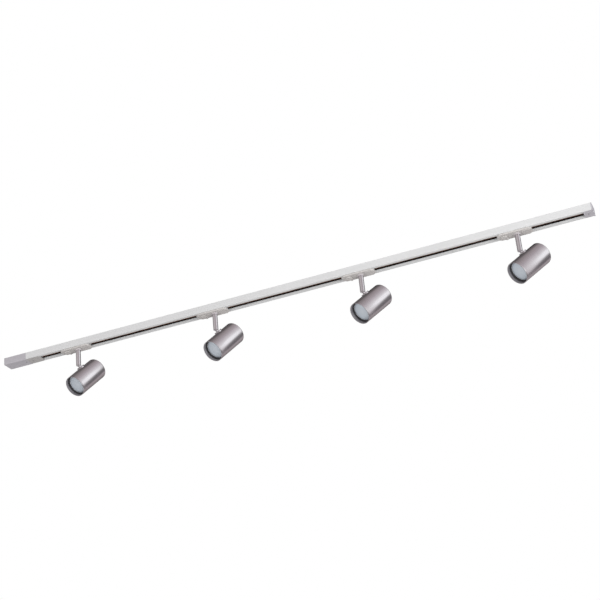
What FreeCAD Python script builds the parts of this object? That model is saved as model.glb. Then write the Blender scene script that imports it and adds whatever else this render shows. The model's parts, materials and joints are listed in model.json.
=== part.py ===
import FreeCAD, Part
import math
import os

# Single-circuit track light: a slotted rail with a live-end feed and an end cap, and four
# adjustable spotlights that slide along it. Millimetres, +Z up. The origin is the middle of
# the rail's top face, which lies on the ceiling, and +X runs along the rail to the end cap.

Vector = FreeCAD.Vector
X_AXIS = Vector(1, 0, 0)
Y_AXIS = Vector(0, 1, 0)
Z_AXIS = Vector(0, 0, 1)

# Driving dimensions: rail
RAIL_LENGTH = 1500.0
RAIL_WIDTH = 36.0
RAIL_HEIGHT = 18.0
WEB = 2.0
WALL = 1.6
SLOT_HALF = 9.5
RETURN_THICK = 1.2
RETURN_TOP = -14.0
FIXING_SPACING = 1000.0
FIXING_HOLE_R = 2.25
LINER_HOLE_R = 5.0
LINER_WEB = 2.2
LINER_INNER = 12.4
LINER_BOTTOM = -13.0
STRIP_THICK = 1.5
STRIP_TOP = -6.0
STRIP_BOTTOM = -8.5

# Driving dimensions: ends
FEED_LENGTH = 66.0
FEED_HEIGHT = 19.0
FEED_WALL = 2.0
CABLE_HOLE_R = 5.0
TONGUE_LENGTH = 39.0
CAP_FLANGE = 2.5
CAP_TONGUE = 20.5
PLATE_HALF = 16.0
PLATE_THICK = 1.0
GAP = 0.2
SCREW_HEAD_R = 2.3
SCREW_HEAD_THICK = 1.0
SCREW_PROUD = 0.3
SCREW_SHANK_R = 1.25
SCREW_LENGTH = 8.5
SCREW_HOLE_DEPTH = 9.0
CROSS_REACH = 1.4
CROSS_HALF = 0.25
CROSS_DEPTH = 0.8
BOSS_R = 3.0
BOSS_HEIGHT = 7.5
DOORWAY_HALF = 8.0
DOORWAY_LOW = -14.0
DOORWAY_HIGH = -6.0
TERMINAL_INSET = 44.0
TERMINAL_LENGTH = 18.0
TERMINAL_HALF = 12.0
TERMINAL_HEIGHT = 10.0
TERMINAL_WAYS = (-8.0, 0.0, 8.0)
TERMINAL_CLAMPS = (5.0, 13.0)
WIRE_LEVEL = 4.0
WIRE_HOLE_R = 1.8
CLAMP_HOLE_R = 1.4

# Driving dimensions: spotlights
SPOT_COUNT = 4
SPOT_FIRST_X = -604.0
SPOT_PITCH = 391.0
REST_PAN = (64.4, 57.3, 49.9, 42.4)
REST_TILT = (43.0, 42.0, 40.0, 38.5)

ADAPTER_LEFT = -47.0
ADAPTER_RIGHT = 37.0
ADAPTER_HALF = 15.5
ADAPTER_THICK = 3.3
ADAPTER_CHAMFER = 7.0
NECK_HALF = 9.1
NECK_TOP = -10.0
BLOCK_TOP = -5.0
BLOCK_LEFT = -14.0
EAR_REACH = 11.9
EAR_THICK = 2.2
EAR_LENGTH = 22.0
EAR_STARTS = (-42.0, 8.0)

KNOB_X = -31.0
KNOB_R = 8.5
KNOB_THICK = 2.5
LOCK_SHAFT_R = 4.0
CAM_REACH = 10.6
CAM_HALF = 3.2
CAM_TOP = -5.2
CAM_BOTTOM = -9.7
COIN_SLOT_REACH = 5.0
COIN_SLOT_HALF = 0.7
COIN_SLOT_DEPTH = 0.8
BLADE_ROOT = 7.0
BLADE_REACH = 12.2
BLADE_HALF = 1.6
LEVER_REACH = 14.0
LEVER_HALF = 3.0
LEVER_ANGLE = 65.0
RUNNING = 0.05

COLLAR_R = 8.5
COLLAR_THICK = 2.2
SPIGOT_R = 5.0
STEM_R = 6.25
STEM_LENGTH = 43.8
STEM_ROUND = 2.0
WIRE_R = 3.2
WIRE_ABOVE_PIVOT = 10.0
FORK_WIDTH = 5.4
FORK_DEPTH = 4.0
PIVOT_ABOVE_END = 4.5
PIN_R = 2.0

TONGUE_THICK = 5.0
TONGUE_R = 3.5
SADDLE_TOP = 7.5
SADDLE_R = 10.0
SADDLE_SKIRT = 2.4
STUD_R = 3.0
NUT_R = 5.5
NUT_BOTTOM = -13.5
NUT_THICK = 1.4
SHELL_GAP = 10.0
SHELL_R = 28.0
SHELL_WALL = 1.2
SHELL_FRONT = 54.0
SHELL_BACK = 42.0
SHELL_ROUND = 2.5

LAMP_R = 25.0
LAMP_RECESS = 12.0
LAMP_LENGTH = 48.8
LAMP_NECK_R = 11.0
LENS_R = 24.2
LENS_THICK = 2.3
PIN_OFFSET = 5.0
HOLDER_R = 13.0
HOLDER_LENGTH = 15.8
LAMP_PIN_R = 1.25
LAMP_PIN_LENGTH = 6.0
BUTTON_R = 2.4
BUTTON_THICK = 1.6
BAFFLE_AHEAD = 2.2
BAFFLE_LENGTH = 9.0
BAFFLE_LIP = 1.8
HOLDER_HOLE_R = 2.7
HOLDER_HOLE_DEPTH = 7.0
BRACKET_TOP = -13.6
BRACKET_RIGHT = 7.0
BRACKET_REACH = 8.0
BRACKET_THICK = 1.2
BRACKET_HALF = 6.0

# Worked-out places
RAIL_END = RAIL_LENGTH / 2
LIP_BOTTOM = -RAIL_HEIGHT
PLATE_TOP = LIP_BOTTOM - GAP
ADAPTER_BOTTOM = PLATE_TOP - ADAPTER_THICK
COLLAR_TOP = ADAPTER_BOTTOM - GAP
STEM_TOP = COLLAR_TOP - COLLAR_THICK
STEM_END = STEM_TOP - STEM_LENGTH
PIVOT_Z = STEM_END + PIVOT_ABOVE_END
AXIS_DROP = SHELL_GAP + SHELL_R
SHELL_INNER = SHELL_R - SHELL_WALL
LENS_FRONT = SHELL_FRONT - LAMP_RECESS
LAMP_BASE = LENS_FRONT - LAMP_LENGTH
PLUG_HALF = LINER_INNER - 0.6
PLUG_TOP = -5.5
PLUG_BOTTOM = RETURN_TOP + 0.4


def box(x, y, z):
    """Box from three (low, high) pairs."""
    size = (x[1] - x[0], y[1] - y[0], z[1] - z[0])
    return Part.makeBox(*size, Vector(x[0], y[0], z[0]))


def rod(radius, start, direction, length):
    return Part.makeCylinder(radius, length, Vector(*start), direction)


def upright(radius, x, y, low, high):
    """Vertical cylinder at x, y between two heights."""
    return rod(radius, (x, y, low), Z_AXIS, high - low)


def plate(outline, low, high):
    """Flat plate with a polygon outline in X and Y."""
    points = [Vector(x, y, low) for x, y in outline]
    face = Part.Face(Part.makePolygon(points + points[:1]))
    return face.extrude(Vector(0, 0, high - low))


def turned(points):
    """Solid turned about the X axis from (x, radius) points."""
    outline = [Vector(x, r, 0) for x, r in points]
    face = Part.Face(Part.makePolygon(outline + outline[:1]))
    return face.revolve(Vector(0, 0, 0), X_AXIS, 360)


def edges_where(shape, test):
    """Edges whose two ends both pass the test."""
    return [e for e in shape.Edges if all(test(v.Point) for v in e.Vertexes)]


def near(a, b):
    return abs(a - b) < 0.01


def save(name, shape, expected=1):
    """Write one node, after checking that it is sound."""
    shape = shape.removeSplitter()
    solids = shape.Solids
    if not shape.isValid() or len(solids) != expected:
        raise ValueError(f"{name}: valid {shape.isValid()}, solids {len(solids)}")
    if expected > 1:
        shape = Part.makeCompound(solids)
    else:
        shape = solids[0]
    shape.exportStep(f"parts/{name}.step")
    print(f"{name}: {shape.Volume / 1000:.2f} cm3")


# Track

def rail_profile():
    """Extruded rail: a flat-topped channel with two lips and upturned returns."""
    ends = (-RAIL_END, RAIL_END)
    half = RAIL_WIDTH / 2
    body = box(ends, (-half, half), (LIP_BOTTOM, 0))
    corners = edges_where(body, lambda p: near(abs(p.y), half))
    long_edges = [e for e in corners if e.Length > RAIL_WIDTH]
    body = body.makeFillet(0.6, long_edges)
    cavity = box(ends, (WALL - half, half - WALL), (WALL + LIP_BOTTOM, -WEB))
    slot = box(ends, (-SLOT_HALF, SLOT_HALF), (LIP_BOTTOM, WALL + LIP_BOTTOM))
    body = body.cut(cavity).cut(slot)
    for side in (-1, 1):
        reach = sorted((side * SLOT_HALF, side * (SLOT_HALF + RETURN_THICK)))
        body = body.fuse(box(ends, reach, (LIP_BOTTOM, RETURN_TOP)))
        x = side * FIXING_SPACING / 2
        body = body.cut(upright(FIXING_HOLE_R, x, 0, -WEB, 0))
    return body


def rail_insulator():
    """Black liner that carries the conductors inside the rail."""
    ends = (2 - RAIL_END, RAIL_END - 2)
    outer = RAIL_WIDTH / 2 - WALL - 0.1
    body = box(ends, (-outer, outer), (LINER_BOTTOM, -WEB))
    body = body.cut(box(ends, (-LINER_INNER, LINER_INNER), (LINER_BOTTOM, -WEB - LINER_WEB)))
    for side in (-1, 1):
        groove = sorted((side * LINER_INNER, side * (LINER_INNER + STRIP_THICK)))
        body = body.cut(box(ends, groove, (STRIP_BOTTOM, STRIP_TOP)))
        x = side * FIXING_SPACING / 2
        body = body.cut(upright(LINER_HOLE_R, x, 0, -WEB - LINER_WEB, -WEB))
    return body


def conductor_strips():
    """Live and neutral copper strips, one in each wall of the liner."""
    ends = (4 - RAIL_END, RAIL_END - 4)
    strips = []
    for side in (-1, 1):
        across = sorted((side * LINER_INNER, side * (LINER_INNER + STRIP_THICK)))
        strips.append(box(ends, across, (STRIP_BOTTOM, STRIP_TOP)))
    return Part.makeCompound(strips)


def rail_plug(outer_x, inner_x):
    """Key that fills the end of the rail: a wide head above the lips and a neck in the slot."""
    span = sorted((outer_x, inner_x))
    head = box(span, (-PLUG_HALF, PLUG_HALF), (PLUG_BOTTOM, PLUG_TOP))
    neck = box(span, (-NECK_HALF, NECK_HALF), (PLATE_TOP, PLUG_BOTTOM))
    return head.fuse(neck)


def tongue_plate(start, end, corner):
    """Cover plate below the lips, with cut corners at its inner end."""
    back = end - math.copysign(corner, end - start)
    half = PLATE_HALF
    side = half - corner
    outline = [(start, -half), (back, -half), (end, -side), (end, side), (back, half), (start, half)]
    return plate(outline, PLATE_TOP - PLATE_THICK, PLATE_TOP)


def screw_places():
    """Each cover screw as (x, height of the face that its head lies in)."""
    feed = (-RAIL_END - 8, -FEED_HEIGHT)
    tongue = (-RAIL_END + 12, PLATE_TOP - PLATE_THICK)
    cap = (RAIL_END - 10, PLATE_TOP - PLATE_THICK)
    return [feed, tongue, cap]


def screw_hole(place):
    x, face = place
    hole = upright(SCREW_SHANK_R, x, 0, face, face + SCREW_HOLE_DEPTH)
    sunk = SCREW_HEAD_THICK - SCREW_PROUD
    return hole.fuse(upright(SCREW_HEAD_R + 0.1, x, 0, face, face + sunk))


def cover_screws():
    """Three small cross-head screws."""
    screws = []
    for x, face in screw_places():
        low = face - SCREW_PROUD
        neck = low + SCREW_HEAD_THICK
        head = upright(SCREW_HEAD_R, x, 0, low, neck)
        head = head.makeFillet(0.4, edges_where(head, lambda p: near(p.z, head.BoundBox.ZMin)))
        screw = head.fuse(upright(SCREW_SHANK_R, x, 0, neck, face + SCREW_LENGTH))
        thin = (-CROSS_HALF, CROSS_HALF)
        wide = (-CROSS_REACH, CROSS_REACH)
        deep = (low, low + CROSS_DEPTH)
        arm = box((x - CROSS_REACH, x + CROSS_REACH), thin, deep)
        cross = arm.fuse(box((x - CROSS_HALF, x + CROSS_HALF), wide, deep))
        screws.append(screw.cut(cross))
    return Part.makeCompound(screws)


def feed_housing():
    """Live-end feed box: open at the ceiling, with a cable entry in its end wall."""
    outer_end = -RAIL_END - FEED_LENGTH
    half = RAIL_WIDTH / 2
    body = box((outer_end, -RAIL_END), (-half, half), (-FEED_HEIGHT, 0))
    far = edges_where(body, lambda p: near(p.x, outer_end))
    upright_edges = [e for e in far if near(abs(e.Vertexes[0].Z - e.Vertexes[1].Z), FEED_HEIGHT)]
    body = body.makeFillet(1.5, upright_edges)
    body = body.makeFillet(0.8, edges_where(body, lambda p: near(p.z, -FEED_HEIGHT)))
    inner_x = (outer_end + FEED_WALL, -RAIL_END - FEED_WALL)
    inner_y = (FEED_WALL - half, half - FEED_WALL)
    body = body.cut(box(inner_x, inner_y, (FEED_WALL - FEED_HEIGHT, 0)))
    wall = (-RAIL_END - FEED_WALL, -RAIL_END)
    doorway = box(wall, (-DOORWAY_HALF, DOORWAY_HALF), (DOORWAY_LOW, DOORWAY_HIGH))
    entry = rod(CABLE_HOLE_R, (outer_end, 0, -FEED_HEIGHT / 2), X_AXIS, FEED_WALL)
    body = body.cut(doorway).cut(entry)
    place = screw_places()[0]
    floor = FEED_WALL - FEED_HEIGHT
    boss = upright(BOSS_R, place[0], 0, floor, floor + BOSS_HEIGHT)
    return body.fuse(boss).cut(screw_hole(place))


def feed_tongue():
    """Part of the feed that plugs into the rail."""
    plug = rail_plug(-RAIL_END, TONGUE_LENGTH - RAIL_END - 6)
    body = plug.fuse(tongue_plate(-RAIL_END, TONGUE_LENGTH - RAIL_END, 4))
    return body.cut(screw_hole(screw_places()[1]))


def feed_terminal_block():
    """Three-way terminal block on the floor of the feed box."""
    left = -RAIL_END - TERMINAL_INSET
    floor = FEED_WALL - FEED_HEIGHT
    top = floor + TERMINAL_HEIGHT
    level = floor + WIRE_LEVEL
    body = box((left, left + TERMINAL_LENGTH), (-TERMINAL_HALF, TERMINAL_HALF), (floor, top))
    for y in TERMINAL_WAYS:
        body = body.cut(rod(WIRE_HOLE_R, (left, y, level), X_AXIS, TERMINAL_LENGTH))
        for clamp in TERMINAL_CLAMPS:
            body = body.cut(upright(CLAMP_HOLE_R, left + clamp, y, level, top))
    return body


def end_cap():
    """Blank end of the rail: a flange, a plug and a short plate below the lips."""
    half = RAIL_WIDTH / 2
    flange = box((RAIL_END, RAIL_END + CAP_FLANGE), (-half, half), (PLATE_TOP - PLATE_THICK, 0))
    outer = edges_where(flange, lambda p: near(p.x, RAIL_END + CAP_FLANGE))
    flange = flange.makeFillet(0.8, outer)
    plug = rail_plug(RAIL_END, RAIL_END - CAP_TONGUE + 4)
    body = flange.fuse(plug).fuse(tongue_plate(RAIL_END, RAIL_END - CAP_TONGUE, 2))
    return body.cut(screw_hole(screw_places()[2]))


# Adapter and lock, with the stem's axis at x = 0

def adapter_outline(inset):
    """Outline of the adapter's cover, drawn in by an inset."""
    left = ADAPTER_LEFT + inset
    right = ADAPTER_RIGHT - inset
    half = ADAPTER_HALF - inset
    cut = ADAPTER_CHAMFER
    corners = [(left, -half + cut), (left + cut, -half), (right - cut, -half), (right, -half + cut)]
    return corners + [(x, -y) for x, y in reversed(corners)]


def adapter_body():
    """Slider that hangs in the slot: a cover below the lips, a neck, a block and two ears."""
    cover = plate(adapter_outline(0), ADAPTER_BOTTOM, PLATE_TOP)
    lower = edges_where(cover, lambda p: near(p.z, ADAPTER_BOTTOM))
    cover = cover.makeChamfer(1.0, lower)
    neck_span = (ADAPTER_LEFT + 3, ADAPTER_RIGHT - 3)
    neck = box(neck_span, (-NECK_HALF, NECK_HALF), (PLATE_TOP, NECK_TOP))
    block = box((BLOCK_LEFT, ADAPTER_RIGHT - 3), (-NECK_HALF, NECK_HALF), (NECK_TOP, BLOCK_TOP))
    body = cover.fuse(neck).fuse(block)
    ear_z = (RETURN_TOP + 0.3, RETURN_TOP + 0.3 + EAR_THICK)
    for start in EAR_STARTS:
        body = body.fuse(box((start, start + EAR_LENGTH), (0, EAR_REACH), ear_z))
    body = body.cut(upright(SPIGOT_R + RUNNING, 0, 0, ADAPTER_BOTTOM, BLOCK_TOP))
    return body.cut(upright(LOCK_SHAFT_R + RUNNING, KNOB_X, 0, ADAPTER_BOTTOM, NECK_TOP))


def blade(side):
    """Copper contact at one end of the cam, against a conductor strip."""
    across = sorted((side * BLADE_ROOT, side * BLADE_REACH))
    along = (KNOB_X - BLADE_HALF, KNOB_X + BLADE_HALF)
    return box(along, across, (STRIP_BOTTOM + 0.4, STRIP_TOP - 0.4))


def contact_blades():
    return Part.makeCompound([blade(-1), blade(1)])


def lock_knob():
    """Turning lock: knob and lever below, shaft through the adapter, cam bar inside the rail."""
    top = ADAPTER_BOTTOM - GAP
    bottom = top - KNOB_THICK
    knob = upright(KNOB_R, KNOB_X, 0, bottom, top)
    lever = box((KNOB_X, KNOB_X + LEVER_REACH), (-LEVER_HALF, LEVER_HALF), (bottom, top))
    tip = edges_where(lever, lambda p: near(p.x, KNOB_X + LEVER_REACH))
    lever = lever.makeFillet(2.0, [e for e in tip if near(e.Length, KNOB_THICK)])
    lever.rotate(Vector(KNOB_X, 0, 0), Z_AXIS, LEVER_ANGLE)
    body = knob.fuse(lever).removeSplitter()
    body = body.makeChamfer(0.5, edges_where(body, lambda p: near(p.z, bottom)))
    body = body.fuse(upright(LOCK_SHAFT_R, KNOB_X, 0, top, CAM_BOTTOM))
    along = (KNOB_X - CAM_HALF, KNOB_X + CAM_HALF)
    cam = box(along, (-CAM_REACH, CAM_REACH), (CAM_BOTTOM, CAM_TOP))
    ends = [e for e in cam.Edges if near(e.Length, CAM_TOP - CAM_BOTTOM)]
    body = body.fuse(cam.makeFillet(1.5, ends))
    along = (KNOB_X - COIN_SLOT_REACH, KNOB_X + COIN_SLOT_REACH)
    across = (-COIN_SLOT_HALF, COIN_SLOT_HALF)
    slot = box(along, across, (bottom, bottom + COIN_SLOT_DEPTH))
    return body.cut(slot).cut(contact_blades())


# Stem, with the stem's axis at x = 0 and the head's aim along +X

def stem_collar():
    """Collar that bears on the adapter, and the hollow spigot that turns in it."""
    collar = upright(COLLAR_R, 0, 0, STEM_TOP, COLLAR_TOP)
    rims = [e for e in collar.Edges if near(e.Length, 2 * math.pi * COLLAR_R)]
    collar = collar.makeFillet(0.5, rims)
    spigot = upright(SPIGOT_R, 0, 0, COLLAR_TOP, BLOCK_TOP - 0.5)
    return collar.fuse(spigot).cut(upright(WIRE_R, 0, 0, STEM_TOP, BLOCK_TOP))


def stem_tube():
    """Stem: hollow above, and forked round the head's tongue below."""
    tube = upright(STEM_R, 0, 0, STEM_END, STEM_TOP)
    foot = edges_where(tube, lambda p: near(p.z, STEM_END))
    foot = [e for e in foot if near(e.Length, 2 * math.pi * STEM_R)]
    tube = tube.makeFillet(STEM_ROUND, foot)
    tube = tube.cut(upright(WIRE_R, 0, 0, PIVOT_Z + WIRE_ABOVE_PIVOT, STEM_TOP))
    along = (-STEM_R - 1, TONGUE_R + 0.3)
    across = (-FORK_WIDTH / 2, FORK_WIDTH / 2)
    fork = box(along, across, (STEM_END, PIVOT_Z + FORK_DEPTH))
    pin = rod(PIN_R, (0, -STEM_R, PIVOT_Z), Y_AXIS, 2 * STEM_R)
    return tube.cut(fork).cut(pin)


def pivot_screw():
    """Screw across the fork, trimmed flush with the stem."""
    pin = rod(PIN_R, (0, -STEM_R, PIVOT_Z), Y_AXIS, 2 * STEM_R)
    pin = pin.common(upright(STEM_R - 0.2, 0, 0, STEM_END, STEM_TOP))
    slot = box((-PIN_R, PIN_R), (-STEM_R, -STEM_R + 1), (PIVOT_Z - 0.35, PIVOT_Z + 0.35))
    return pin.cut(slot)


# Head, with the tilt pivot at the origin, the lamp's axis along +X and below the pivot

def on_axis(shape):
    """Move a shape from the X axis down to the lamp's axis."""
    shape.translate(Vector(0, 0, -AXIS_DROP))
    return shape


def tilt_knuckle():
    """Tongue that turns in the fork, with a stud and nut that hold the shell."""
    half = TONGUE_THICK / 2
    tongue = rod(TONGUE_R, (0, -half, 0), Y_AXIS, TONGUE_THICK)
    tongue = tongue.fuse(box((-TONGUE_R, TONGUE_R), (-half, half), (-SADDLE_TOP, 0)))
    stud = upright(STUD_R, 0, 0, NUT_BOTTOM, -SADDLE_TOP)
    nut = upright(NUT_R, 0, 0, NUT_BOTTOM, NUT_BOTTOM + NUT_THICK)
    body = tongue.fuse(stud).fuse(nut)
    return body.cut(rod(PIN_R + RUNNING, (0, -half, 0), Y_AXIS, TONGUE_THICK))


def saddle_washer():
    """Round saddle between the knuckle and the shell, hollowed to the shell's curve."""
    disc = upright(SADDLE_R, 0, 0, -SHELL_GAP - SADDLE_SKIRT, -SADDLE_TOP)
    rim = edges_where(disc, lambda p: near(p.z, -SADDLE_TOP))
    rim = [e for e in rim if near(e.Length, 2 * math.pi * SADDLE_R)]
    disc = disc.makeFillet(0.6, rim)
    shell = on_axis(rod(SHELL_R, (-2 * SADDLE_R, 0, 0), X_AXIS, 4 * SADDLE_R))
    return disc.cut(shell).cut(upright(STUD_R, 0, 0, NUT_BOTTOM, -SADDLE_TOP))


def head_shell():
    """Cylindrical lamp housing, open in front and closed behind."""
    outer = rod(SHELL_R, (-SHELL_BACK, 0, 0), X_AXIS, SHELL_BACK + SHELL_FRONT)
    back = [e for e in edges_where(outer, lambda p: near(p.x, -SHELL_BACK)) if e.Length > 50]
    outer = outer.makeFillet(SHELL_ROUND, back)
    depth = SHELL_BACK + SHELL_FRONT - SHELL_WALL
    inner = rod(SHELL_INNER, (SHELL_WALL - SHELL_BACK, 0, 0), X_AXIS, depth)
    corner = [e for e in edges_where(inner, lambda p: p.x < 0) if e.Length > 50]
    inner = inner.makeFillet(SHELL_ROUND - SHELL_WALL, corner)
    body = on_axis(outer.cut(inner))
    return body.cut(upright(STUD_R, 0, 0, NUT_BOTTOM, -SADDLE_TOP))


def baffle_ring():
    """Black ring that holds the lamp and hides its rim."""
    outer = SHELL_INNER - 0.1
    front = LENS_FRONT + BAFFLE_AHEAD
    back = front - BAFFLE_LENGTH
    step = front - BAFFLE_LIP
    inner = LENS_R - 0.4
    seat = LAMP_R + 0.1
    section = [(back, outer), (front, outer), (front, inner), (step, inner), (step, seat), (back, seat)]
    return on_axis(turned(section))


def lamp():
    """Reflector lamp with a two-pin twist base."""
    front = LENS_FRONT - 0.3
    outline = [
        (LAMP_BASE, 0), (LAMP_BASE, LAMP_NECK_R), (LAMP_BASE + 20, LAMP_NECK_R + 1),
        (front - 8, LAMP_R - 2.5), (front - 4, LAMP_R), (front, LAMP_R), (front, 0),
    ]
    body = turned(outline)
    seat = LENS_THICK - 0.3
    body = body.cut(rod(LENS_R, (front - seat, 0, 0), X_AXIS, seat))
    for side in (-1, 1):
        tip = (LAMP_BASE - LAMP_PIN_LENGTH, side * PIN_OFFSET, 0)
        pin = rod(LAMP_PIN_R, tip, X_AXIS, LAMP_PIN_LENGTH)
        button = rod(BUTTON_R, tip, X_AXIS, BUTTON_THICK)
        body = body.fuse(pin).fuse(button)
    return on_axis(body)


def lamp_lens():
    """Frosted front glass of the lamp."""
    disc = rod(LENS_R, (LENS_FRONT - LENS_THICK, 0, 0), X_AXIS, LENS_THICK)
    rim = [e for e in edges_where(disc, lambda p: near(p.x, LENS_FRONT)) if e.Length > 50]
    return on_axis(disc.makeFillet(0.8, rim))


def lampholder():
    """Ceramic twist holder and the bent bracket that hangs it from the knuckle's stud."""
    face = LAMP_BASE - 0.2
    body = rod(HOLDER_R, (face - HOLDER_LENGTH, 0, 0), X_AXIS, HOLDER_LENGTH)
    for side in (-1, 1):
        hole = (face - HOLDER_HOLE_DEPTH, side * PIN_OFFSET, 0)
        body = body.cut(rod(HOLDER_HOLE_R, hole, X_AXIS, HOLDER_HOLE_DEPTH))
    body = on_axis(body)
    back = face - HOLDER_LENGTH
    across = (-BRACKET_HALF, BRACKET_HALF)
    left = back - BRACKET_THICK
    drop = box((left, back), across, (-AXIS_DROP - BRACKET_REACH, BRACKET_TOP))
    tab = box((left, BRACKET_RIGHT), across, (BRACKET_TOP - BRACKET_THICK, BRACKET_TOP))
    bracket = drop.fuse(tab).removeSplitter()
    return Part.makeCompound([body, bracket])


# Placing

def along_rail(shape, k):
    """Move a part of spotlight k to its place on the rail."""
    shape.translate(Vector(SPOT_FIRST_X + SPOT_PITCH * (k - 1), 0, 0))
    return shape


def panned(shape, k):
    """Turn a part of spotlight k about its stem, then move it along the rail."""
    shape.rotate(Vector(0, 0, 0), Z_AXIS, 180 + REST_PAN[k - 1])
    return along_rail(shape, k)


def aimed(shape, k):
    """Tilt a part of head k about its pivot, then turn and move it with its stem."""
    shape.rotate(Vector(0, 0, 0), Y_AXIS, REST_TILT[k - 1])
    shape.translate(Vector(0, 0, PIVOT_Z))
    return panned(shape, k)


def main():
    os.makedirs("parts", exist_ok=True)
    save("rail_profile", rail_profile())
    save("rail_insulator", rail_insulator())
    save("conductor_strips", conductor_strips(), 2)
    save("feed_housing", feed_housing())
    save("feed_tongue", feed_tongue())
    save("feed_terminal_block", feed_terminal_block())
    save("end_cap", end_cap())
    save("cover_screws", cover_screws(), 3)
    for k in range(1, SPOT_COUNT + 1):
        save(f"adapter_body_{k}", along_rail(adapter_body(), k))
        save(f"lock_knob_{k}", along_rail(lock_knob(), k))
        save(f"contact_blades_{k}", along_rail(contact_blades(), k), 2)
        save(f"stem_collar_{k}", panned(stem_collar(), k))
        save(f"stem_tube_{k}", panned(stem_tube(), k))
        save(f"pivot_screw_{k}", panned(pivot_screw(), k))
        save(f"tilt_knuckle_{k}", aimed(tilt_knuckle(), k))
        save(f"saddle_washer_{k}", aimed(saddle_washer(), k))
        save(f"head_shell_{k}", aimed(head_shell(), k))
        save(f"baffle_ring_{k}", aimed(baffle_ring(), k))
        save(f"lamp_{k}", aimed(lamp(), k))
        save(f"lamp_lens_{k}", aimed(lamp_lens(), k))
        save(f"lampholder_{k}", aimed(lampholder(), k), 2)


main()
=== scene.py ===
# %% [markdown]
# # A track light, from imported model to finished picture
# The fixture is a slotted rail on a ceiling with four small spotlights hanging from it. The
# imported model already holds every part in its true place, in metres. This script leaves that
# model alone and adds what makes it look real: turned and moulded pieces with soft edges,
# finishes made from noise and ramps, studio light, and a camera below the rail.

# %% Load the frame
import json
import math
from contextlib import contextmanager
import bmesh
import bpy
from mathutils import Matrix, Vector

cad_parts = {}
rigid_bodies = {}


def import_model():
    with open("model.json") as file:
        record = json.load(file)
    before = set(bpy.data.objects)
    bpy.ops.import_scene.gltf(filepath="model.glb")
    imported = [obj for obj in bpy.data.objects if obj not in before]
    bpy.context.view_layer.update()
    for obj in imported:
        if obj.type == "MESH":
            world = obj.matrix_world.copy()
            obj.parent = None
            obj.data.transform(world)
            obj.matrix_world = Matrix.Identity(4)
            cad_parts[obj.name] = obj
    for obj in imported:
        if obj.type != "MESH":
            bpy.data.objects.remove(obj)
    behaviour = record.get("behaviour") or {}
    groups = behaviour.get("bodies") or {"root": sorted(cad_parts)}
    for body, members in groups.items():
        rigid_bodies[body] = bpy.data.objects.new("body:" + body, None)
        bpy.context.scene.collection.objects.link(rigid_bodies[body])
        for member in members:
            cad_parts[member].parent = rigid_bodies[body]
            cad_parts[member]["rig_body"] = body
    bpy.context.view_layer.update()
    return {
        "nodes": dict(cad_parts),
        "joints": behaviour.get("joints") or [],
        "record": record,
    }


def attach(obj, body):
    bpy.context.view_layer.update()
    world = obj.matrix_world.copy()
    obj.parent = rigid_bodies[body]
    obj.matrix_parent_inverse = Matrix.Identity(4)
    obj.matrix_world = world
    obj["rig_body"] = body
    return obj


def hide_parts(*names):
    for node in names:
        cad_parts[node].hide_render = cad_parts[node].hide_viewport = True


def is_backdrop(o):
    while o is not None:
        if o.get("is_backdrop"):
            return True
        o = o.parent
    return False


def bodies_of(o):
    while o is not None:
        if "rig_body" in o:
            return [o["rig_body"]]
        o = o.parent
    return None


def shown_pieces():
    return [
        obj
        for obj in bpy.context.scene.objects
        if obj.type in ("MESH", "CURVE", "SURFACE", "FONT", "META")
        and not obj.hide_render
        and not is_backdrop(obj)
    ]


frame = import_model()
nodes = frame["nodes"]
joints = {joint["name"]: joint for joint in frame["joints"]}
MM = 0.001
spots = range(1, 1 + sum(name.startswith("head_shell_") for name in nodes))
print("spotlights:", len(spots), "CAD nodes:", len(nodes))

# %% [markdown]
# ## The camera
# A track light is seen from below, from a few steps away. A camera is easy to describe as a
# person would: which point it looks at, from which side, from how far below, how far off, and
# how much it is rolled. A long lens keeps the four lamps almost the same size.

# %% Camera
LOOK_AT = Vector((0.0089, 0.0206, -0.0345))
CAMERA_SIDE = math.radians(19.65)
CAMERA_BELOW = math.radians(25.5)
CAMERA_ROLL = math.radians(5.91)
CAMERA_DISTANCE = 3.511
LENS = 85.45
CLIP_END = 50


def make_camera():
    across = Vector((-math.sin(CAMERA_SIDE), math.cos(CAMERA_SIDE), 0))
    forward = across * math.cos(CAMERA_BELOW) + Vector((0, 0, math.sin(CAMERA_BELOW)))
    data = bpy.data.cameras.new("camera")
    data.lens = LENS
    data.clip_end = CLIP_END
    camera = bpy.data.objects.new("camera", data)
    bpy.context.scene.collection.objects.link(camera)
    turn = forward.to_track_quat("-Z", "Y").to_matrix().to_4x4()
    roll = Matrix.Rotation(-CAMERA_ROLL, 4, "Z")
    camera.matrix_world = Matrix.Translation(LOOK_AT - forward * CAMERA_DISTANCE) @ turn @ roll
    bpy.context.scene.camera = camera
    print("camera at", [round(v, 3) for v in camera.matrix_world.translation])


make_camera()

# %% [markdown]
# ## Shader maths in Python
# A procedural finish is a small sum: noise times a strength, plus a base. Adding Math nodes by
# hand hides that sum, so `Value` wraps a socket and lets Python's own operators add the nodes.
# `Finish` owns one material and makes every other kind of node.

# %% Wrapped sockets
class Value:
    """A number socket that Python's operators work on."""

    def __init__(self, finish, socket):
        self.finish = finish
        self.socket = socket

    def _math(self, operation, first, second=None):
        values = {0: first} if second is None else {0: first, 1: second}
        return self.finish.node("ShaderNodeMath", {"operation": operation}, values).out(0)

    def __add__(self, other):
        return self._math("ADD", self, other)

    def __radd__(self, other):
        return self._math("ADD", other, self)

    def __sub__(self, other):
        return self._math("SUBTRACT", self, other)

    def __rsub__(self, other):
        return self._math("SUBTRACT", other, self)

    def __mul__(self, other):
        return self._math("MULTIPLY", self, other)

    def __rmul__(self, other):
        return self._math("MULTIPLY", other, self)

    def __pow__(self, other):
        return self._math("POWER", self, other)


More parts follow.
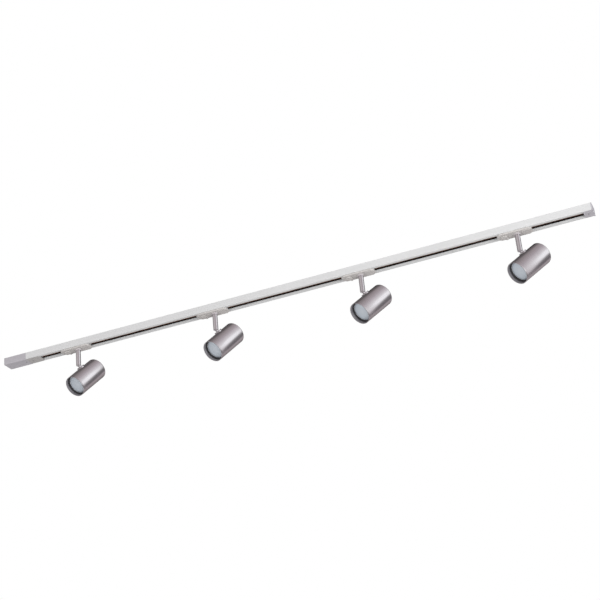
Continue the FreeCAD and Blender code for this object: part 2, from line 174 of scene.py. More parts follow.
class Made:
    """A node that was made, with its outputs as values."""

    def __init__(self, finish, node):
        self.finish = finish
        self.node = node

    def out(self, name):
        return Value(self.finish, self.node.outputs[name])


class Finish:
    """One node tree, of a material or of the world."""

    def __init__(self, tree):
        self.tree = tree
        tree.nodes.clear()

    def node(self, kind, settings=None, values=None):
        node = self.tree.nodes.new(kind)
        for name, setting in (settings or {}).items():
            if name == "stops":
                self.set_stops(node.color_ramp, setting)
            else:
                setattr(node, name, setting)
        for name, value in (values or {}).items():
            if isinstance(value, Value):
                self.tree.links.new(value.socket, node.inputs[name])
            else:
                node.inputs[name].default_value = value
        return Made(self, node)

    def set_stops(self, ramp, stops):
        while len(ramp.elements) < len(stops):
            ramp.elements.new(0.5)
        for element, (place, color) in zip(ramp.elements, stops):
            element.position = place
            element.color = (*color, 1)

    def ramp(self, factor, stops):
        """Colour that follows a value between 0 and 1."""
        return self.node("ShaderNodeValToRGB", {"stops": stops}, {"Fac": factor}).out("Color")

    def noise(self, vector, scale, detail=3.0):
        values = {"Vector": vector, "Scale": scale, "Detail": detail}
        return self.node("ShaderNodeTexNoise", None, values).out("Fac")

    def stretch(self, vector, scale):
        """The same place, stretched by three scales, so that noise becomes streaks."""
        values = {0: vector, 1: scale}
        return self.node("ShaderNodeVectorMath", {"operation": "MULTIPLY"}, values).out("Vector")

    def place(self):
        return self.node("ShaderNodeTexCoord").out("Object")

    def own_place(self):
        """Place in the piece's own upright model, which each copy carries with it."""
        return self.node("ShaderNodeAttribute", {"attribute_name": "own_place"}).out("Vector")

    def bump(self, height, strength, distance=0.0002):
        values = {"Height": height, "Strength": strength, "Distance": distance}
        return self.node("ShaderNodeBump", None, values).out("Normal")

    def surface(self, **values):
        """Principled surface on the output. Names use _ for spaces."""
        values = {name.replace("_", " "): value for name, value in values.items()}
        shader = self.node("ShaderNodeBsdfPrincipled", None, values).out("BSDF")
        self.node("ShaderNodeOutputMaterial", None, {"Surface": shader})


def new_finish(name):
    material = bpy.data.materials.new(name)
    material.use_nodes = True
    return material, Finish(material.node_tree)


def grey(level, tint=(1, 1, 1)):
    return tuple(level * part for part in tint)

# %% [markdown]
# ## Plain light from a studio
# A satin cylinder shows its surroundings as soft bands along its length. In a studio these
# come from one tall window of white cloth, whose light falls off over the ceiling, and a black
# card, called a flag, beside it. A second, weaker window at the left adds a soft sheen, and
# three dark cards overhead and behind keep the stems and the housings' upper edges from going
# white. Each one is a direction here, and the dot product says how near any other direction
# is to it. The camera itself sees plain white.

# %% World
WINDOW = Vector((0.96, 0.07, 0.20)).normalized()
FLAG = Vector((0.79, 0.60, -0.10)).normalized()
SECOND_WINDOW = Vector((-0.35, -0.86, 0.37)).normalized()
CARDS = [
    (Vector((-0.15, 0.80, 0.58)).normalized(), 0.26),
    (Vector((0.55, 0.66, 0.50)).normalized(), 0.20),
    (Vector((-0.38, 0.30, 0.87)).normalized(), 0.56),
]
WINDOW_LEVELS = [
    (0.00, grey(0.36, (1.0, 0.94, 0.97))), (0.30, grey(0.33, (1.0, 0.93, 0.96))),
    (0.46, grey(0.23, (1.0, 0.92, 0.93))), (0.60, grey(0.34, (1.0, 0.91, 0.94))),
    (0.71, grey(0.44, (1.0, 0.91, 0.95))),
    (0.805, grey(0.51, (1.0, 0.93, 0.99))), (0.88, grey(0.64, (1.0, 0.95, 1.01))),
    (0.935, grey(0.76, (1.0, 0.98, 1.02))), (0.975, grey(0.93, (0.98, 0.99, 1.02))),
    (0.992, grey(1.24, (0.97, 1.00, 1.03))),
]
FLAG_LEVELS = [(0.952, grey(1.0)), (0.992, grey(0.30))]
SECOND_LEVELS = [(0.88, grey(0.0)), (0.97, grey(0.34))]
CARD_EDGE = 0.93
CARD_MIDDLE = 0.98
WHITE = (1, 1, 1, 1)


def nearness(sky, direction, target):
    """1 in the target's direction and 0 opposite to it."""
    values = {0: direction, 1: target}
    dot = sky.node("ShaderNodeVectorMath", {"operation": "DOT_PRODUCT"}, values).out("Value")
    return dot * 0.5 + 0.5


def blend_colors(sky, kind, first, second):
    """Two colours multiplied or added."""
    settings = {"data_type": "RGBA", "blend_type": kind, "clamp_result": False}
    return sky.node("ShaderNodeMix", settings, {0: 1.0, 6: first, 7: second}).out(2)


def make_world():
    world = bpy.data.worlds.new("studio")
    bpy.context.scene.world = world
    world.use_nodes = True
    sky = Finish(world.node_tree)
    direction = sky.node("ShaderNodeTexCoord").out("Generated")
    window = sky.ramp(nearness(sky, direction, WINDOW), WINDOW_LEVELS)
    flag = sky.ramp(nearness(sky, direction, FLAG), FLAG_LEVELS)
    second = sky.ramp(nearness(sky, direction, SECOND_WINDOW), SECOND_LEVELS)
    shaded = blend_colors(sky, "MULTIPLY", window, flag)
    for card, darkest in CARDS:
        levels = [(CARD_EDGE, grey(1.0)), (CARD_MIDDLE, grey(darkest))]
        shade = sky.ramp(nearness(sky, direction, card), levels)
        shaded = blend_colors(sky, "MULTIPLY", shaded, shade)
    cloth = blend_colors(sky, "ADD", shaded, second)
    room = sky.node("ShaderNodeBackground", None, {"Color": cloth, "Strength": 1.0})
    white = sky.node("ShaderNodeBackground", None, {"Color": WHITE, "Strength": 1.0})
    seen = sky.node("ShaderNodeLightPath").out("Is Camera Ray")
    both = {0: seen, 1: room.out(0), 2: white.out(0)}
    mixed = sky.node("ShaderNodeMixShader", None, both).out(0)
    sky.node("ShaderNodeOutputWorld", None, {"Surface": mixed})


make_world()
bpy.context.scene.view_settings.view_transform = "Standard"
print("world: 2 windows, 1 flag,", len(CARDS), "cards")

# %% [markdown]
# Four large area lights do the rest. The one at the right is stronger than the one at the
# left, so the rail grows lighter towards its end cap. The one below shines on the rail's
# underside, and the last is for whoever walks round the back. Neither the camera nor mirror
# rays see them. The floor lies far down, so that it doesn't come between a low camera and the
# fixture.

# %% Lamps of the studio and the floor
LIGHTS = [
    # name, place, target, size in metres, power in watts
    ("soft_right", (2.6, -1.9, -0.5), (0.3, 0, -0.05), 1.4, 53),
    ("soft_left", (-1.8, -2.6, -0.9), (-0.3, 0, -0.05), 1.8, 22),
    ("soft_below", (0.5, -1.1, -2.1), (0.1, 0, -0.02), 1.8, 23),
    ("soft_back", (0.3, 2.4, 1.5), (0.1, 0.2, -0.5), 2.4, 90),
]
FLOOR_DEPTH = 4.2
FLOOR_SIZE = 16.0


def area_light(name, place, target, size, power):
    data = bpy.data.lights.new(name, "AREA")
    data.shape = "DISK"
    data.size = size
    data.energy = power
    light = bpy.data.objects.new(name, data)
    bpy.context.scene.collection.objects.link(light)
    light.visible_camera = False
    light.visible_glossy = False
    aim = (Vector(target) - Vector(place)).to_track_quat("-Z", "Y")
    light.matrix_world = Matrix.Translation(place) @ aim.to_matrix().to_4x4()


def make_floor():
    bpy.ops.mesh.primitive_plane_add(size=FLOOR_SIZE, location=(0, 0, -FLOOR_DEPTH))
    floor = bpy.context.object
    floor.name = "floor"
    material, finish = new_finish("pale_floor")
    cloud = finish.noise(finish.place(), 1.5)
    color = finish.ramp(cloud, [(0.3, grey(0.80)), (0.7, grey(0.84))])
    finish.surface(Base_Color=color, Roughness=0.8)
    floor.data.materials.append(material)
    floor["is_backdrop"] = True


for light in LIGHTS:
    area_light(*light)
bpy.ops.object.select_all(action="DESELECT")
make_floor()
print("lights:", [light[0] for light in LIGHTS], "floor at", -FLOOR_DEPTH)

# %% [markdown]
# ## Finishes
# Satin nickel first. It is a turned and plated skin: nearly a mirror, blurred by fine lines
# that run round the cylinder. The lines are noise that is stretched round the axis and packed
# along it, and they drive both the roughness and a very low bump. The small castings and the
# blasted collar have the same skin with an even grain.

# %% Satin nickel
NICKEL = (0.70, 0.665, 0.675)
LINE_ROUGHNESS = 0.08
CLOUD_ROUGHNESS = 0.05


def turned_lines(finish, place, along, around):
    """Fine noise packed along the piece's own X axis and drawn out round it."""
    return finish.noise(finish.stretch(place, (along, around, around)), 1.0, 2.0)


def satin_nickel(name, own, along, around, roughness, metallic=1.0):
    """own says that the lines follow the piece's upright model, not the room."""
    material, finish = new_finish(name)
    place = finish.own_place() if own else finish.place()
    lines = turned_lines(finish, place, along, around)
    cloud = finish.noise(place, 35.0)
    tone = lines * 0.5 + cloud * 0.5
    dark = grey(0.93, NICKEL)
    light = grey(1.05, NICKEL)
    lowest = roughness - (LINE_ROUGHNESS + CLOUD_ROUGHNESS) / 2
    finish.surface(
        Base_Color=finish.ramp(tone, [(0.3, dark), (0.7, light)]),
        Metallic=metallic,
        Roughness=lines * LINE_ROUGHNESS + cloud * CLOUD_ROUGHNESS + lowest,
        Normal=finish.bump(lines, 0.02),
    )
    return material


nickel_head = satin_nickel("satin_nickel_head", True, 2600.0, 60.0, 0.19)
nickel_stem = satin_nickel("satin_nickel_stem", True, 90.0, 900.0, 0.22)
nickel_small = satin_nickel("satin_nickel_small", False, 700.0, 700.0, 0.26)
nickel_blasted = satin_nickel("blasted_nickel", False, 700.0, 700.0, 0.42, 0.4)

# %% [markdown]
# Painted aluminium for the rail. Powder coat melts into a skin with a faint orange peel, and
# the die that pressed the rail leaves long, shallow lines under it.

# %% Rail paint
def rail_paint():
    material, finish = new_finish("rail_paint")
    place = finish.place()
    peel = finish.noise(place, 900.0, 2.0)
    die = finish.noise(finish.stretch(place, (2.0, 900.0, 900.0)), 1.0, 2.0)
    cloud = finish.noise(place, 6.0)
    tone = die * 0.35 + cloud * 0.65
    finish.surface(
        Base_Color=finish.ramp(tone, [(0.3, (0.68, 0.695, 0.69)), (0.7, (0.74, 0.755, 0.75))]),
        Metallic=0.12,
        Roughness=peel * 0.10 + 0.36,
        Normal=finish.bump(peel * 0.7 + die * 0.3, 0.03),
    )
    return material

# %% [markdown]
# Moulded plastic comes from a spark-eroded tool, which gives it a fine even grain. The feed
# and the cap are a cool grey, and the sliding parts a warmer grey from another maker's batch.
# The liner is near black, darker than its black plastic would be, and hardly shines: painted shade
# that keeps the slot dark. The lamp's body and its ceramic holder use the same recipe under a thin
# glaze.

# %% Moulded plastics
SPARK_GRAIN = 1400.0
SPARK_ROUGHNESS = 0.16


def moulded(name, low, high, roughness, coat=0.0, gloss=0.5):
    """Plastic or ceramic between two tones, with a grain round its mean roughness."""
    material, finish = new_finish(name)
    place = finish.place()
    spark = finish.noise(place, SPARK_GRAIN, 2.0)
    flow = finish.noise(finish.stretch(place, (18.0, 60.0, 60.0)), 1.0)
    tone = spark * 0.3 + flow * 0.7
    finish.surface(
        Base_Color=finish.ramp(tone, [(0.3, low), (0.7, high)]),
        Roughness=spark * SPARK_ROUGHNESS + (roughness - SPARK_ROUGHNESS / 2),
        Specular_IOR_Level=gloss,
        Coat_Weight=coat,
        Normal=finish.bump(spark, 0.05),
    )
    return material


feed_grey = moulded("feed_grey", (0.455, 0.445, 0.47), (0.485, 0.475, 0.50), 0.5)
adapter_grey = moulded("adapter_grey", (0.53, 0.515, 0.495), (0.57, 0.555, 0.535), 0.48)
plug_grey = moulded("plug_grey", (0.43, 0.42, 0.405), (0.46, 0.45, 0.435), 0.48)
# liner: black plastic darkened further, as painted shade of the slot
liner_black = moulded("liner_black", grey(0.006), grey(0.012), 0.6, gloss=0.08)
baffle_black = moulded("baffle_black", (0.014, 0.015, 0.017), (0.03, 0.031, 0.034), 0.42)
terminal_white = moulded("terminal_white", (0.66, 0.66, 0.62), (0.74, 0.74, 0.70), 0.45)
lamp_white = moulded("lamp_white", (0.70, 0.71, 0.72), (0.78, 0.79, 0.80), 0.35, coat=0.3)
ceramic_white = moulded("ceramic_white", (0.74, 0.73, 0.69), (0.82, 0.81, 0.77), 0.3, coat=0.6)
housing_grey = moulded("housing_grey", (0.19, 0.185, 0.20), (0.24, 0.235, 0.25), 0.42)
rail_grey = rail_paint()

# %% [markdown]
# Copper strip is drawn bright and then dulls in patches. Its colour is kept very dark throughout,
# as painted shade, since the strips and blades sit deep in the slot. Zinc-plated screws are the
# same idea in grey, with coarser lines from the tool that cut them.

# %% Copper and zinc
DRAWN_ROUGHNESS = 0.2


def bare_metal(name, clean, dull, streaks, roughness):
    material, finish = new_finish(name)
    place = finish.place()
    drawn = finish.noise(finish.stretch(place, streaks), 1.0)
    patch = finish.noise(place, 45.0)
    finish.surface(
        Base_Color=finish.ramp(patch, [(0.35, dull), (0.6, clean)]),
        Metallic=1.0,
        Roughness=drawn * DRAWN_ROUGHNESS + (roughness - DRAWN_ROUGHNESS / 2),
        Normal=finish.bump(drawn, 0.08),
    )
    return material


# copper: the dull patches are real tarnish; the very dark colour overall is painted shade of the
# slot
copper = bare_metal("copper", (0.24, 0.13, 0.09), (0.13, 0.07, 0.05), (8.0, 900.0, 900.0), 0.4)
zinc = bare_metal("zinc", (0.66, 0.67, 0.69), (0.5, 0.5, 0.5), (500.0, 500.0, 500.0), 0.32)
print("finishes so far:", len(bpy.data.materials))

# %% [markdown]
# The lamp's front is frosted: it scatters light instead of letting the lamp be seen, so it reads
# as a pale blue-grey skin with a soft gloss. Painted shade darkens it towards its edge, where the
# black ring and the housing stand round it.

# %% Frosted front
def frosted(axis_drop, radius):
    """Frost, with painted shade that darkens it from the lamp's axis out to a radius in metres."""
    material, finish = new_finish("frosted_front")
    place = finish.own_place()
    parts = finish.node("ShaderNodeSeparateXYZ", None, {0: place})
    y = parts.out("Y")
    z = parts.out("Z") + axis_drop
    spread = (y * y + z * z) ** 0.5 * (1 / radius)
    frost = finish.noise(place, 2600.0, 2.0)
    # the stops grow darker towards the rim: painted shade from the black ring and housing round
    # the lamp's front
    stops = [(0.0, (0.57, 0.62, 0.665)), (0.8, (0.51, 0.57, 0.62)), (1.0, (0.33, 0.37, 0.42))]
    finish.surface(
        Base_Color=finish.ramp(spread, stops),
        Roughness=frost * 0.15 + 0.22,
        Coat_Weight=0.5,
        Normal=finish.bump(frost, 0.02),
    )
    return material

# %% [markdown]
# ## Modelling helpers
# Every operator works on what is selected, so each step here first deselects everything and
# then picks faces or edges by where they are. `editing` opens edit mode and closes it again.

# %% Selection and edit mode
WELD = 0.002 * MM


def only(piece):
    bpy.ops.object.select_all(action="DESELECT")
    piece.select_set(True)
    bpy.context.view_layer.objects.active = piece


@contextmanager
def editing(piece, mode="FACE"):
    only(piece)
    bpy.ops.object.mode_set(mode="EDIT")
    bpy.ops.mesh.select_mode(type=mode)
    bpy.ops.mesh.select_all(action="DESELECT")
    yield
    bpy.ops.object.mode_set(mode="OBJECT")


def pick(kind, test):
    """In edit mode, select only the verts, edges or faces that pass a test."""
    mesh = bmesh.from_edit_mesh(bpy.context.object.data)
    bpy.ops.mesh.select_all(action="DESELECT")
    for item in getattr(mesh, kind):
        item.select_set(bool(test(item)))
    bmesh.update_edit_mesh(bpy.context.object.data)


def tidy_up():
    """In edit mode, weld doubles and point every face outwards."""
    bpy.ops.mesh.select_all(action="SELECT")
    bpy.ops.mesh.remove_doubles(threshold=WELD)
    bpy.ops.mesh.normals_make_consistent(inside=False)


def modify(piece, kind, **settings):
    """Add a modifier, set it and apply it."""
    only(piece)
    modifier = piece.modifiers.new(kind.lower(), kind)
    for name, setting in settings.items():
        setattr(modifier, name, setting)
    bpy.ops.object.modifier_apply(modifier=modifier.name)


def smooth(piece, angle=32):
    only(piece)
    bpy.ops.object.shade_smooth_by_angle(angle=math.radians(angle))

# %% [markdown]
# Most parts of a spotlight are turned on a lathe, and Blender's spin works in the same way. A
# plane is merged into a single vertex, the vertex is extruded from point to point to draw half
# of the section, and the section is spun round the axis. Corners are then bevelled, since no
# real edge is perfectly sharp.

# %% A lathe
def turned(name, profile, axis="X", drop=0.0, steps=96, closed=True):
    """Solid of revolution from (along, radius) points in millimetres.

    drop is how far the axis of an X piece lies below the origin, in metres.
    """

    def to_place(point):
        along, radius = point[0] * MM, point[1] * MM
        if axis == "X":
            return Vector((along, 0, radius - drop))
        return Vector((radius, 0, along))

    places = [to_place(point) for point in profile]
    if closed:
        places.append(places[0])
    bpy.ops.object.select_all(action="DESELECT")
    bpy.ops.mesh.primitive_plane_add(size=MM, location=(0, 0, 0))
    piece = bpy.context.object
    piece.name = name
    with editing(piece, "VERT"):
        bpy.ops.mesh.select_all(action="SELECT")
        bpy.ops.mesh.merge(type="CENTER")
        bpy.ops.mesh.select_all(action="SELECT")
        bpy.ops.transform.translate(value=places[0])
        for start, end in zip(places, places[1:]):
            bpy.ops.mesh.extrude_vertices_move(TRANSFORM_OT_translate={"value": end - start})
        bpy.ops.mesh.select_all(action="SELECT")
        bpy.ops.mesh.remove_doubles(threshold=WELD)
        centre = (0, 0, -drop) if axis == "X" else (0, 0, 0)
        line = (1, 0, 0) if axis == "X" else (0, 0, 1)
        bpy.ops.mesh.spin(steps=steps, angle=2 * math.pi, center=centre, axis=line)
        tidy_up()
    return piece


def shade_flats(piece):
    """Smooth the corners, and keep the flats looking flat."""
    smooth(piece)
    modify(piece, "WEIGHTED_NORMAL", mode="FACE_AREA", keep_sharp=True)


def soften(piece, width, angle=30):
    """Bevel every edge sharper than an angle, by a width in millimetres."""
    modify(
        piece, "BEVEL", width=width * MM, segments=2, limit_method="ANGLE",
        angle_limit=math.radians(angle), use_clamp_overlap=True, miter_outer="MITER_ARC",
    )
    shade_flats(piece)

# %% [markdown]
# One model serves all four spotlights. It is built upright, then each copy gets its own mesh,
# moved to where its joints say. Before that, every vertex notes its upright place in an
# attribute, so that brush lines follow the part however it is aimed.

# %% Copies that follow the joints
def turn_of(k):
    """Angle about Z of spotlight k's aim."""
    axis = joints[f"tilt_{k}"]["axis"]
    return math.atan2(-axis[0], axis[1])


def rail_place(k):
    return Matrix.Translation((joints[f"pan_{k}"]["pos_m"][0], 0, 0))


def stem_place(k):
    return rail_place(k) @ Matrix.Rotation(turn_of(k), 4, "Z")


def head_place(k):
    """The housing is level at the tilt's lower limit, so at rest it leans by that much."""
    tilt = joints[f"tilt_{k}"]
    lean = math.radians(-tilt["range_deg"][0])
    upright = Matrix.Rotation(turn_of(k), 4, "Z") @ Matrix.Rotation(lean, 4, "Y")
    return Matrix.Translation(tilt["pos_m"]) @ upright


def note_own_place(piece):
    attribute = piece.data.attributes.new("own_place", "FLOAT_VECTOR", "POINT")
    for vertex, value in zip(piece.data.vertices, attribute.data):
        value.vector = vertex.co


def hang(model, place, body, finish, node=None, inside=None):
    """One copy of a model on each spotlight, in place of a CAD node if one is named.

    inside is a second finish and a test that says which faces take it.
    """
    note_own_place(model)
    model.data.materials.clear()
    model.data.materials.append(finish)
    if inside:
        model.data.materials.append(inside[0])
        for face in model.data.polygons:
            face.material_index = int(inside[1](face))
    for k in spots:
        piece = model.copy()
        piece.data = model.data.copy()
        piece.name = f"{model.name}_{k}"
        bpy.context.scene.collection.objects.link(piece)
        piece.data.transform(place(k))
        if node:
            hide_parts(f"{node}_{k}")
        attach(piece, f"{body}_{k}")
    faces = len(model.data.polygons)
    bpy.data.objects.remove(model)
    print(f"{piece.name[:-2]}: {faces} faces each")

# %% [markdown]
# ## The lamp housing
# The housing is a drawn tube, open in front and closed behind. Its wall is drawn as a section:
# from the middle of the back along the inside, round the front lip, and back along the
# outside. The lip is a half round, with a fine groove behind it that catches a bright line,
# and the back has a shallow ring. The wall inside is a plain grey and not polished.

# %% Housing
AXIS_DROP = 38.0 * MM
SHELL_R = 28.0
SHELL_WALL = 1.2
SHELL_FRONT = 54.0
SHELL_BACK = -42.0
BACK_CORNER = 2.5
LIP_R = SHELL_WALL / 2
GROOVE = [(2.2, 0), (2.5, 0.12), (2.8, 0.12), (3.1, 0)]
BACK_RING = [(0, 21.5), (0.35, 21.2), (0.35, 20.8), (0, 20.5), (0, 0)]
ARC_STEPS = 6
INSIDE_MARGIN = 0.05
PAST_BACK = 1.0


def arc(centre, radius, start, end):
    """Points of an arc between two angles in degrees, as (along, radius) pairs."""
    points = []
    for step in range(ARC_STEPS + 1):
        angle = math.radians(start + (end - start) * step / ARC_STEPS)
        points.append((centre[0] + radius * math.cos(angle), centre[1] + radius * math.sin(angle)))
    return points


def housing():
    corner = (SHELL_BACK + BACK_CORNER, SHELL_R - BACK_CORNER)
    profile = [(SHELL_BACK + SHELL_WALL, 0)]
    profile += arc(corner, BACK_CORNER - SHELL_WALL, 180, 90)
    profile += arc((SHELL_FRONT - LIP_R, SHELL_R - LIP_R), LIP_R, -90, 90)
    profile += [(SHELL_FRONT - behind, SHELL_R - depth) for behind, depth in GROOVE]
    profile += arc(corner, BACK_CORNER, 90, 180)
    profile += [(SHELL_BACK + depth, radius) for depth, radius in BACK_RING]
    piece = turned("housing", profile, drop=AXIS_DROP, steps=128, closed=False)
    smooth(piece, 40)
    return piece


def is_inside(face):
    """True for the faces of the housing's inner wall."""
    away = Vector((0, face.center.y, face.center.z + AXIS_DROP))
    inner = (SHELL_R - SHELL_WALL + INSIDE_MARGIN) * MM
    return away.length < inner and face.center.x > (SHELL_BACK + PAST_BACK) * MM


hang(
    housing(), head_place, "head", nickel_head, "head_shell",
    inside=(housing_grey, is_inside),
)

# %% [markdown]
# ## What is inside the open front
# Looking in, there is first a black ring, with fine steps that kill stray reflections. It is
# one lathe section whose inner side is a staircase.

# %% Baffle ring
LENS_FRONT = SHELL_FRONT - 12.0
BAFFLE_OUTER = 26.7
BAFFLE_INNER = 23.8
BAFFLE_FRONT = LENS_FRONT + 2.2
BAFFLE_RISE = 2.4
BAFFLE_STEPS = 4
BAFFLE_LIP = 0.5
BAFFLE_SHELF = 1.8
BAFFLE_SKIRT = 9
BAFFLE_SEAT = 25.1


def baffle():
    top = BAFFLE_FRONT + BAFFLE_RISE
    skirt = BAFFLE_FRONT - BAFFLE_SKIRT
    shelf = BAFFLE_FRONT - BAFFLE_SHELF
    profile = [(skirt, BAFFLE_OUTER), (top, BAFFLE_OUTER)]
    rise = BAFFLE_RISE / BAFFLE_STEPS
    fall = (BAFFLE_OUTER - BAFFLE_LIP - BAFFLE_INNER) / BAFFLE_STEPS
    for step in range(BAFFLE_STEPS):
        along = top - rise * step
        radius = BAFFLE_OUTER - BAFFLE_LIP - fall * step
        profile += [(along, radius), (along - rise, radius)]
    profile += [(BAFFLE_FRONT, BAFFLE_INNER), (shelf, BAFFLE_INNER)]
    profile += [(shelf, BAFFLE_SEAT), (skirt, BAFFLE_SEAT)]
    piece = turned("baffle", profile, drop=AXIS_DROP)
    soften(piece, 0.12)
    return piece


hang(baffle(), head_place, "head", baffle_black, "baffle_ring")

# %% [markdown]
# Behind the ring sits the frosted front of the lamp. It bulges by half a millimetre, and a
# ring near its edge steps down, as on a moulded diffuser.

# %% Frosted front of the lamp
LENS_R = 24.2
LENS_RIM = 22.6
LENS_BACK = 2.3
LENS_STEP = 0.9
DOME = 0.5
DOME_EDGE = 0.5
DOME_RINGS = 10


def lens():
    back = LENS_FRONT - LENS_BACK
    rim = LENS_FRONT - LENS_STEP
    profile = [(back, 0), (back, LENS_R), (rim, LENS_R), (rim, LENS_RIM)]
    for ring in range(DOME_RINGS + 1):
        radius = (LENS_RIM - DOME_EDGE) * (1 - ring / DOME_RINGS)
        bulge = DOME * (1 - (radius / LENS_RIM) ** 2)
        profile.append((LENS_FRONT - DOME + bulge, radius))
    piece = turned("front_glass", profile, drop=AXIS_DROP, closed=False)
    smooth(piece, 30)
    return piece


hang(lens(), head_place, "head", frosted(AXIS_DROP, LENS_R * MM), "lamp_lens")

# %% [markdown]
# ## Stem and collar
# The stem is a turned rod with a waist ring near the top and a rounded foot, and is bored for
# the wires. Its foot is split into a fork, open at the back, that holds the head's tongue.
# The split is cut with a boolean, as a saw would.

# %% Stem
STEM_R = 6.25
STEM_TOP = -23.9
STEM_END = -67.7
STEM_ROUND = 2.0
WIRE_R = 3.2
WAIST = [(3.0, 0), (2.7, 0.3), (2.2, 0.3), (1.9, 0), (0, 0)]
PIVOT_ABOVE_END = 4.5
WIRE_ABOVE_PIVOT = 10
FORK = 5.4
FORK_ABOVE_PIVOT = 4
FORK_FRONT = 3.8
PAST = 1.0


def box(low, high):
    """Plain box from two corners in millimetres, to cut with or to shape further."""
    size = Vector(high) - Vector(low)
    middle = (Vector(high) + Vector(low)) / 2
    bpy.ops.object.select_all(action="DESELECT")
    bpy.ops.mesh.primitive_cube_add(size=1, location=middle * MM, scale=size * MM)
    bpy.ops.object.transform_apply(location=True, rotation=True, scale=True)
    return bpy.context.object


def cut_away(piece, tool):
    modify(piece, "BOOLEAN", operation="DIFFERENCE", solver="EXACT", object=tool)
    bpy.data.objects.remove(tool)


def stem():
    pivot = STEM_END + PIVOT_ABOVE_END
    bore_end = pivot + WIRE_ABOVE_PIVOT
    foot = arc((STEM_END + STEM_ROUND, STEM_R - STEM_ROUND), STEM_ROUND, 180, 90)
    profile = [(STEM_END, 0)] + foot
    profile += [(STEM_TOP - below, STEM_R - depth) for below, depth in WAIST]
    profile += [(STEM_TOP, WIRE_R), (bore_end, WIRE_R), (bore_end, 0)]
    piece = turned("stem", profile, axis="Z", steps=64, closed=False)
    low = (-8, -FORK / 2, STEM_END - PAST)
    cut_away(piece, box(low, (FORK_FRONT, FORK / 2, pivot + FORK_ABOVE_PIVOT)))
    soften(piece, 0.15, angle=40)
    return piece


hang(stem(), stem_place, "stem", nickel_stem, "stem_tube")

# %% [markdown]
# A collar joins the stem to its adapter. It is a blasted ring with a rounded lower edge, and a
# thin spigot goes up into the adapter, where it turns.

# %% Collar
COLLAR_R = 8.5
COLLAR_TOP = -21.7
SPIGOT_R = 5.0
SPIGOT_TOP = -5.5


def collar():
    profile = [
        (STEM_TOP, WIRE_R), (STEM_TOP, COLLAR_R - 1.2), (STEM_TOP + 0.5, COLLAR_R - 0.5),
        (STEM_TOP + 1.2, COLLAR_R), (COLLAR_TOP, COLLAR_R), (COLLAR_TOP, SPIGOT_R),
        (SPIGOT_TOP, SPIGOT_R), (SPIGOT_TOP, WIRE_R),
    ]
    piece = turned("collar", profile, axis="Z", steps=64)
    soften(piece, 0.2)
    return piece


hang(collar(), stem_place, "stem", nickel_blasted, "stem_collar")

# %% [markdown]
# ## Parts with softened edges
# Mouldings and castings have the true shape already, but their edges are perfectly sharp and
# would never catch the light. A copy of each mesh is welded, its flat triangles are merged
# again, and a small bevel runs along every sharp edge.

# %% Softened copies
CAD_WELD = 0.005 * MM
FLAT = math.radians(0.5)
body_of = {}
for body, members in frame["record"]["behaviour"]["bodies"].items():
    for member in members:
        body_of[member] = body


def welded_copy(node, name):
    piece = bpy.data.objects.new(name, nodes[node].data.copy())
    bpy.context.scene.collection.objects.link(piece)
    with editing(piece, "VERT"):
        bpy.ops.mesh.select_all(action="SELECT")
        bpy.ops.mesh.remove_doubles(threshold=CAD_WELD)
        bpy.ops.mesh.dissolve_limited(angle_limit=FLAT)
    return piece


def softened_spot_part(kind, name, place, width, body, slot, finish, extras=()):
    """Softened copy of one part of every spotlight, with any extra pieces fused to it.

    The first spotlight's part is turned back upright, and the copies follow the joints.
    """
    piece = welded_copy(f"{kind}_1", name)
    piece.data.transform(place(1).inverted())
    soften(piece, width)
    for extra in extras:
        modify(piece, "BOOLEAN", operation="UNION", solver="EXACT", object=extra)
        bpy.data.objects.remove(extra)
    with editing(piece, "VERT"):
        tidy_up()
    shade_flats(piece)
    hang(piece, place, body, finish, kind)


def softened_track_part(node, name, width, slot, finish):
    piece = welded_copy(node, name)
    soften(piece, width)
    piece.data.materials.clear()
    piece.data.materials.append(finish)
    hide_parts(node)
    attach(piece, body_of[node])

# %% [markdown]
# The adapter's cover has a raised tablet beyond the stem, and the lock has a thumb bar on a
# fluted disc. They are modelled in place under the rail, and a boolean fuses them to the
# softened part, so that each piece stays one closed skin.

# %% Tablet, thumb bar and flutes
ADAPTER_BOTTOM = -21.5
KNOB_X = -31.0
KNOB_BOTTOM = -24.2
KNOB_R = 8.5
SUNK = 0.2
TABLET_X = (13, 33)
TABLET_HALF = 10.5
TABLET_DROP = 0.9
BAR_HALF = (6.6, 1.5)
BAR_DROP = 0.5
FLUTES = 24
CORNERS_PER_FLUTE = 4
FLUTE_R = KNOB_R + 0.45
FLUTE_HEIGHT = 1.9
FLUTE_MIDDLE = 1.25
FLUTE_SCALE = 0.955
UPRIGHT = 0.4 * MM


def is_upright(edge):
    return abs(edge.verts[0].co.z - edge.verts[1].co.z) > UPRIGHT


def tablet():
    low = (TABLET_X[0], -TABLET_HALF, ADAPTER_BOTTOM - TABLET_DROP)
    piece = box(low, (TABLET_X[1], TABLET_HALF, ADAPTER_BOTTOM + SUNK))
    with editing(piece, "EDGE"):
        pick("edges", is_upright)
        bpy.ops.mesh.bevel(offset=2.2 * MM, segments=4)
        bpy.ops.mesh.select_mode(type="FACE")
        pick("faces", lambda face: face.normal.z < -0.9)
        bpy.ops.mesh.inset(thickness=1.4 * MM, depth=0)
        bpy.ops.mesh.inset(thickness=0.4 * MM, depth=-0.25 * MM)
    soften(piece, 0.18)
    return piece


def thumb_bar():
    along, across = BAR_HALF
    low = (KNOB_X - along, -across, KNOB_BOTTOM - BAR_DROP)
    piece = box(low, (KNOB_X + along, across, KNOB_BOTTOM + SUNK))
    with editing(piece, "EDGE"):
        pick("edges", is_upright)
        bpy.ops.mesh.bevel(offset=1.3 * MM, segments=5)
    soften(piece, 0.15)
    return piece


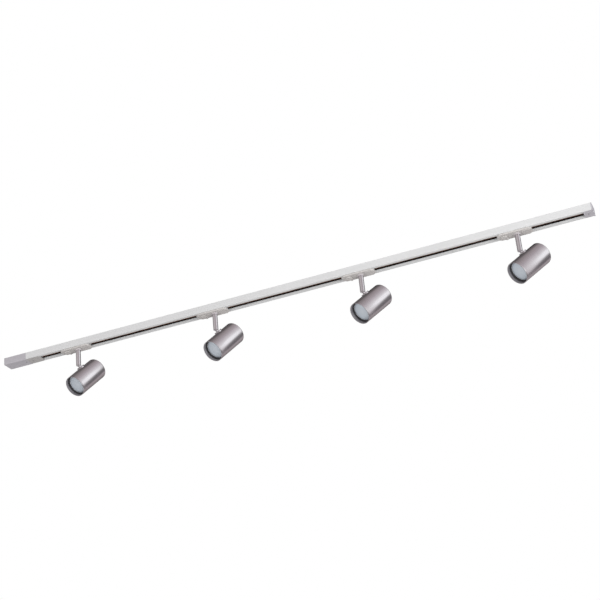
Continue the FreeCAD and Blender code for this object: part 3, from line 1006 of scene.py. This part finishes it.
def fluted_disc():
    """Knob's rim. Three of every four corners are drawn in, as a finger grip."""
    bpy.ops.object.select_all(action="DESELECT")
    bpy.ops.mesh.primitive_cylinder_add(
        vertices=FLUTES * CORNERS_PER_FLUTE, radius=FLUTE_R * MM, depth=FLUTE_HEIGHT * MM,
        location=(KNOB_X * MM, 0, (KNOB_BOTTOM + FLUTE_MIDDLE) * MM),
    )
    piece = bpy.context.object
    bpy.ops.object.transform_apply(location=True, rotation=True, scale=True)
    centre = Vector((KNOB_X * MM, 0, 0))

    def in_flute(vertex):
        away = vertex.co - centre
        turn = math.atan2(away.y, away.x) / (2 * math.pi) * FLUTES
        return abs((turn % 1.0) - 0.5) < 0.3

    with editing(piece, "VERT"):
        pick("verts", in_flute)
        bpy.ops.transform.resize(value=(FLUTE_SCALE, FLUTE_SCALE, 1), center_override=centre)
    soften(piece, 0.15)
    return piece


softened_spot_part(
    "adapter_body", "adapter", rail_place, 0.35, "adapter", "adapter_plastic", adapter_grey,
    [tablet()],
)
softened_spot_part(
    "lock_knob", "lock", rail_place, 0.25, "lock", "adapter_plastic", adapter_grey,
    [thumb_bar(), fluted_disc()],
)

# %% [markdown]
# The other softened parts need no extra detail, so two tables are enough: one for what every
# spotlight has, and one for the feed, the cap and their screws. Widths are in millimetres.

# %% Tables of softened parts
SPOT_PARTS = [
    # CAD part, piece, place, bevel, body, slot, finish
    ("tilt_knuckle", "knuckle", head_place, 0.2, "head", "nickel", nickel_small),
    ("saddle_washer", "saddle", head_place, 0.3, "head", "nickel", nickel_small),
    ("pivot_screw", "pivot_pin", stem_place, 0.12, "stem", "steel_screw", zinc),
    ("lamp", "lamp_body", head_place, 0.3, "head", "lamp_white", lamp_white),
    ("lampholder", "holder", head_place, 0.25, "head", "ceramic", ceramic_white),
]
TRACK_PARTS = [
    # CAD part, piece, bevel, slot, finish
    ("feed_housing", "feed_box", 0.3, "feed_plastic", feed_grey),
    ("feed_tongue", "feed_plug", 0.2, "adapter_plastic", plug_grey),
    ("end_cap", "blank_end", 0.25, "feed_plastic", feed_grey),
    ("feed_terminal_block", "terminals", 0.3, "terminal_plastic", terminal_white),
    ("cover_screws", "cross_screws", 0.08, "steel_screw", zinc),
]
for row in SPOT_PARTS:
    softened_spot_part(*row)
for row in TRACK_PARTS:
    softened_track_part(*row)
print("softened:", [row[1] for row in SPOT_PARTS + TRACK_PARTS])

# %% [markdown]
# ## Carried-over parts
# The rail, its liner and strips and the small inner parts already have their true shape, so
# they only get a finish.

# %% Finishes on CAD nodes
CAD_FINISH = {
    "rail_profile": rail_grey, "rail_insulator": liner_black,
    "conductor_strips": copper, "contact_blades": copper,
}


def paint_node(name, finish):
    node = nodes[name]
    node.data.materials.clear()
    node.data.materials.append(finish)


for name in nodes:
    kind = name.rstrip("1234").rstrip("_")
    if kind in CAD_FINISH:
        paint_node(name, CAD_FINISH[kind])
        print(f"{name}: {CAD_FINISH[kind].name}")

# %% [markdown]
# The satin shells would mirror the dark slot just above them as a dark band. A studio
# would hang a cloth between the rail and the lamps. Here every piece outside the heads is
# left out of mirror rays. That is a simplification: it hides the rail, the adapters and the
# stems from the shells altogether, where a cloth would hide only what is behind it.

# %% Keep the slot out of the reflections
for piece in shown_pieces():
    if not str(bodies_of(piece)).startswith("head"):
        piece.visible_glossy = False
